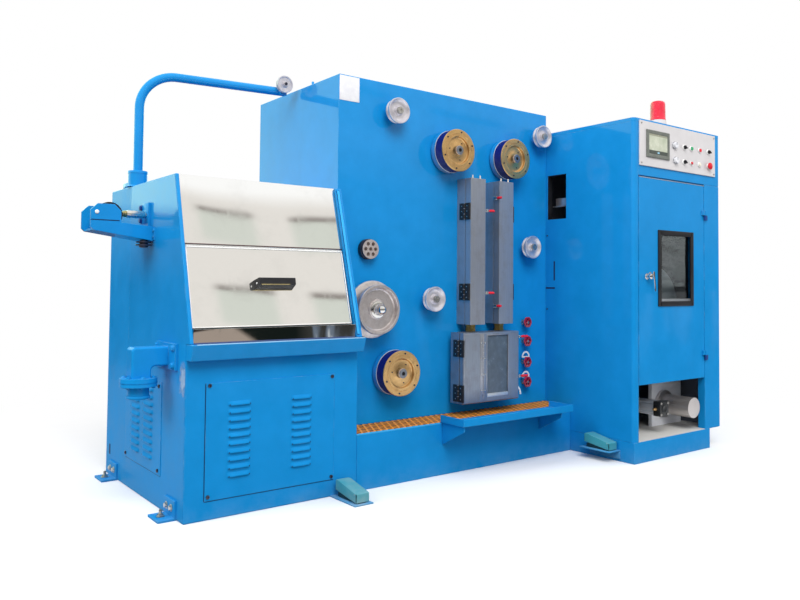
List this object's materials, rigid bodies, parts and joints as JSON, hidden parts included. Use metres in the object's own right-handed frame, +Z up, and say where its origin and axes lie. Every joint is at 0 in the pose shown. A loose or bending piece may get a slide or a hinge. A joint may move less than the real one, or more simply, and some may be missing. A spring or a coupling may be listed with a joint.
{
  "type": "wire drawing machine",
  "caption": "Fine wire drawing line with a hooded drawing unit, an annealer with contact wheels and guide pulleys, and a spooling cabinet with an operator panel.",
  "frame": {"origin": "centre of the line base's underside, on the floor", "axes": "+X along the line from the drawing unit to the take-up cabinet, +Y to the back, +Z up"},
  "size_m": [3.233, 1.493, 1.969],
  "materials": {
    "machine_blue": "satin machine enamel",
    "mirror_stainless": "mirror polished stainless sheet",
    "brushed_stainless": "brushed stainless sheet",
    "wheel_steel": "turned steel",
    "contact_brass": "turned brass with a cobalt blue rim",
    "axle_steel": "bright steel",
    "black_plastic": "moulded",
    "grating_orange": "painted expanded mesh",
    "pedal_teal": "hammered enamel on a casting",
    "panel_grey": "satin enamel",
    "control_plastic": "moulded buttons and screen bezel",
    "beacon_red": "clear red moulding",
    "window_glass": "clear sheet",
    "valve_red": "crimson enamel",
    "support_grey": "light grey enamel",
    "cylinder_alloy": "anodised tube with a black end cap",
    "spool_grey": "grey enamel"
  },
  "bodies": {
    "frame": {"drawing_unit_base": "machine_blue", "annealer_base": "machine_blue", "floor_grating": "grating_orange", "annealer_housing": "machine_blue", "end_plates": "machine_blue", "drawing_rear_housing": "machine_blue", "drawing_roof": "machine_blue", "sill": "machine_blue", "fixed_cover_sheets": "mirror_stainless", "drawing_cones": "wheel_steel", "vent_panels": "machine_blue", "anchor_brackets": "machine_blue", "drain_elbow": "machine_blue", "inlet_arm": "machine_blue", "guide_arm": "machine_blue", "wheel_axles": "axle_steel", "wire_outlet_hub": "wheel_steel", "annealing_tubes": "brushed_stainless", "lower_box": "brushed_stainless", "shelf": "machine_blue", "takeup_plinth": "machine_blue", "takeup_housing": "machine_blue", "takeup_left_wall": "machine_blue", "takeup_right_wall": "machine_blue", "takeup_right_post": "machine_blue", "takeup_header": "machine_blue", "takeup_roof": "machine_blue", "door_hinges": "machine_blue", "control_panel": "panel_grey", "panel_controls": "control_plastic", "beacon": "beacon_red", "takeup_shafts": "axle_steel", "support_plate": "support_grey", "air_cylinder": "cylinder_alloy", "pedal_bases": "pedal_teal"},
    "cover_leaf": {"lower_cover": "mirror_stainless", "cover_handle": "black_plastic"},
    "door_leaf": {"takeup_door": "machine_blue", "door_window": "window_glass", "door_lock": "axle_steel"},
    "left_lid": {"left_tube_lid": "brushed_stainless"},
    "right_lid": {"right_tube_lid": "brushed_stainless"},
    "box_lid": {"lower_box_lid": "brushed_stainless"},
    "guide_1": {"guide_pulley_1": "wheel_steel"},
    "guide_2": {"guide_pulley_2": "wheel_steel"},
    "guide_3": {"guide_pulley_3": "wheel_steel"},
    "guide_4": {"guide_pulley_4": "wheel_steel"},
    "contact_1": {"contact_wheel_1": "contact_brass"},
    "contact_2": {"contact_wheel_2": "contact_brass"},
    "contact_3": {"contact_wheel_3": "contact_brass"},
    "capstan_wheel": {"capstan": "wheel_steel"},
    "arm_wheel": {"arm_pulley": "wheel_steel"},
    "inlet_wheel": {"inlet_pulley": "black_plastic"},
    "spool_reel": {"spool": "spool_grey"},
    "valve_1": {"valve_wheel_1": "valve_red"},
    "valve_2": {"valve_wheel_2": "valve_red"},
    "valve_3": {"valve_wheel_3": "valve_red"},
    "valve_4": {"valve_wheel_4": "valve_red"},
    "floor_pedal": {"floor_treadle": "pedal_teal"},
    "cabinet_pedal": {"cabinet_treadle": "pedal_teal"}
  },
  "joints": [
    {"name": "cover_lift", "type": "hinge", "parent": "frame", "child": "cover_leaf", "pos_m": [0, -0.42108, 1.06713], "axis": [-1, 0, 0], "range_deg": [0, 120]},
    {"name": "door_swing", "type": "hinge", "parent": "frame", "child": "door_leaf", "pos_m": [1.734, -0.955, 0], "axis": [0, 0, 1], "range_deg": [0, 110]},
    {"name": "left_lid_swing", "type": "hinge", "parent": "frame", "child": "left_lid", "pos_m": [0.4085, -0.3905, 0], "axis": [0, 0, -1], "range_deg": [0, 110]},
    {"name": "right_lid_swing", "type": "hinge", "parent": "frame", "child": "right_lid", "pos_m": [0.7275, -0.3905, 0], "axis": [0, 0, 1], "range_deg": [0, 110]},
    {"name": "box_lid_swing", "type": "hinge", "parent": "frame", "child": "box_lid", "pos_m": [0.3425, -0.4265, 0], "axis": [0, 0, -1], "range_deg": [0, 110]},
    {"name": "guide_1_spin", "type": "hinge", "parent": "frame", "child": "guide_1", "pos_m": [-0.0165, -0.3595, 1.764], "axis": [0, -1, 0], "continuous": true},
    {"name": "guide_2_spin", "type": "hinge", "parent": "frame", "child": "guide_2", "pos_m": [0.9985, -0.3595, 1.764], "axis": [0, -1, 0], "continuous": true},
    {"name": "guide_3_spin", "type": "hinge", "parent": "frame", "child": "guide_3", "pos_m": [0.2185, -0.3595, 0.844], "axis": [0, -1, 0], "continuous": true},
    {"name": "guide_4_spin", "type": "hinge", "parent": "frame", "child": "guide_4", "pos_m": [0.9135, -0.3595, 1.13], "axis": [0, -1, 0], "continuous": true},
    {"name": "contact_1_spin", "type": "hinge", "parent": "frame", "child": "contact_1", "pos_m": [0.3385, -0.3315, 1.606], "axis": [0, -1, 0], "continuous": true},
    {"name": "contact_2_spin", "type": "hinge", "parent": "frame", "child": "contact_2", "pos_m": [0.7455, -0.3315, 1.606], "axis": [0, -1, 0], "continuous": true},
    {"name": "contact_3_spin", "type": "hinge", "parent": "frame", "child": "contact_3", "pos_m": [-0.0075, -0.3315, 0.491], "axis": [0, -1, 0], "continuous": true},
    {"name": "capstan_wheel_spin", "type": "hinge", "parent": "frame", "child": "capstan_wheel", "pos_m": [-0.1465, -0.3595, 0.798], "axis": [0, -1, 0], "continuous": true},
    {"name": "arm_wheel_spin", "type": "hinge", "parent": "frame", "child": "arm_wheel", "pos_m": [-0.3875, 0.0995, 1.926], "axis": [0, -1, 0], "continuous": true},
    {"name": "inlet_wheel_spin", "type": "hinge", "parent": "frame", "child": "inlet_wheel", "pos_m": [-1.2565, -0.0395, 1.202], "axis": [0, -1, 0], "continuous": true},
    {"name": "spool_reel_spin", "type": "hinge", "parent": "frame", "child": "spool_reel", "pos_m": [1.4915, -0.7625, 0.79], "axis": [0, -1, 0], "continuous": true},
    {"name": "valve_1_turn", "type": "hinge", "parent": "frame", "child": "valve_1", "pos_m": [0.9045, -0.3235, 0.709], "axis": [0, -1, 0], "range_deg": [0, 270]},
    {"name": "valve_2_turn", "type": "hinge", "parent": "frame", "child": "valve_2", "pos_m": [0.9045, -0.3235, 0.604], "axis": [0, -1, 0], "range_deg": [0, 270]},
    {"name": "valve_3_turn", "type": "hinge", "parent": "frame", "child": "valve_3", "pos_m": [0.9045, -0.3235, 0.487], "axis": [0, -1, 0], "range_deg": [0, 270]},
    {"name": "valve_4_turn", "type": "hinge", "parent": "frame", "child": "valve_4", "pos_m": [0.9045, -0.3235, 0.377], "axis": [0, -1, 0], "range_deg": [0, 270]},
    {"name": "floor_pedal_press", "type": "hinge", "parent": "frame", "child": "floor_pedal", "pos_m": [0, -0.6875, 0.044], "axis": [-1, 0, 0], "range_deg": [0, 10], "stiffness_Nm_per_rad": 5, "springref_deg": -8.59},
    {"name": "cabinet_pedal_press", "type": "hinge", "parent": "frame", "child": "cabinet_pedal", "pos_m": [0, -0.8315, 0.098], "axis": [-1, 0, 0], "range_deg": [0, 10], "stiffness_Nm_per_rad": 5, "springref_deg": -8.59}
  ]
}
